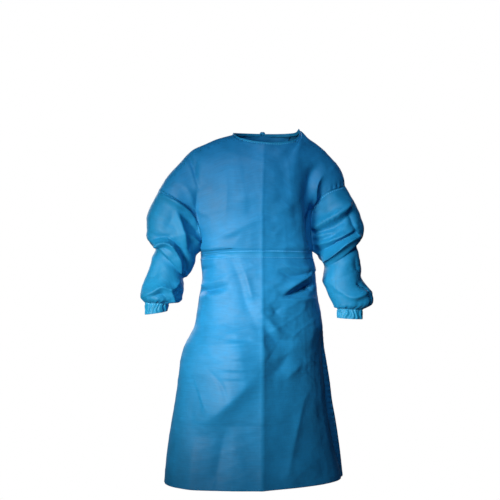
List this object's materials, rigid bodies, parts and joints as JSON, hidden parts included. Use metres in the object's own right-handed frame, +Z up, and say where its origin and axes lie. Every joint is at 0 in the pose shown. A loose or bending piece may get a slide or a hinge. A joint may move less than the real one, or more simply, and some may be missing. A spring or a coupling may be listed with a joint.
{
  "type": "surgical gown",
  "caption": "Long disposable surgical gown in blue nonwoven cloth, worn shape: round neck, dropped shoulders, full sleeves with gathered cuffs, waist belt, lapped open back.",
  "frame": {"origin": "midway between the shoulders at the base of the neck, where the wearer's shoulders hold the gown up", "axes": "+Z up, -Y the way the front faces, +X towards the wearer's left"},
  "size_m": [0.7654, 0.3175, 1.1607],
  "materials": {
    "body_cloth": "light blue spunbond polypropylene nonwoven, faint waxy sheen",
    "sleeve_cloth": "light blue spunbond polypropylene nonwoven, faint waxy sheen",
    "trim_cloth": "doubled light blue nonwoven strip and gathered cuff"
  },
  "bodies": {
    "root": {"front_panel": "body_cloth", "back_left_panel": "body_cloth", "back_right_panel": "body_cloth", "left_sleeve": "sleeve_cloth", "right_sleeve": "sleeve_cloth", "left_cuff": "trim_cloth", "right_cuff": "trim_cloth", "neck_binding": "trim_cloth", "waist_belt": "trim_cloth", "belt_knot": "trim_cloth", "belt_end_left": "trim_cloth", "belt_end_right": "trim_cloth", "neck_knot": "trim_cloth", "neck_end_left": "trim_cloth", "neck_end_right": "trim_cloth"}
  },
  "joints": []
}
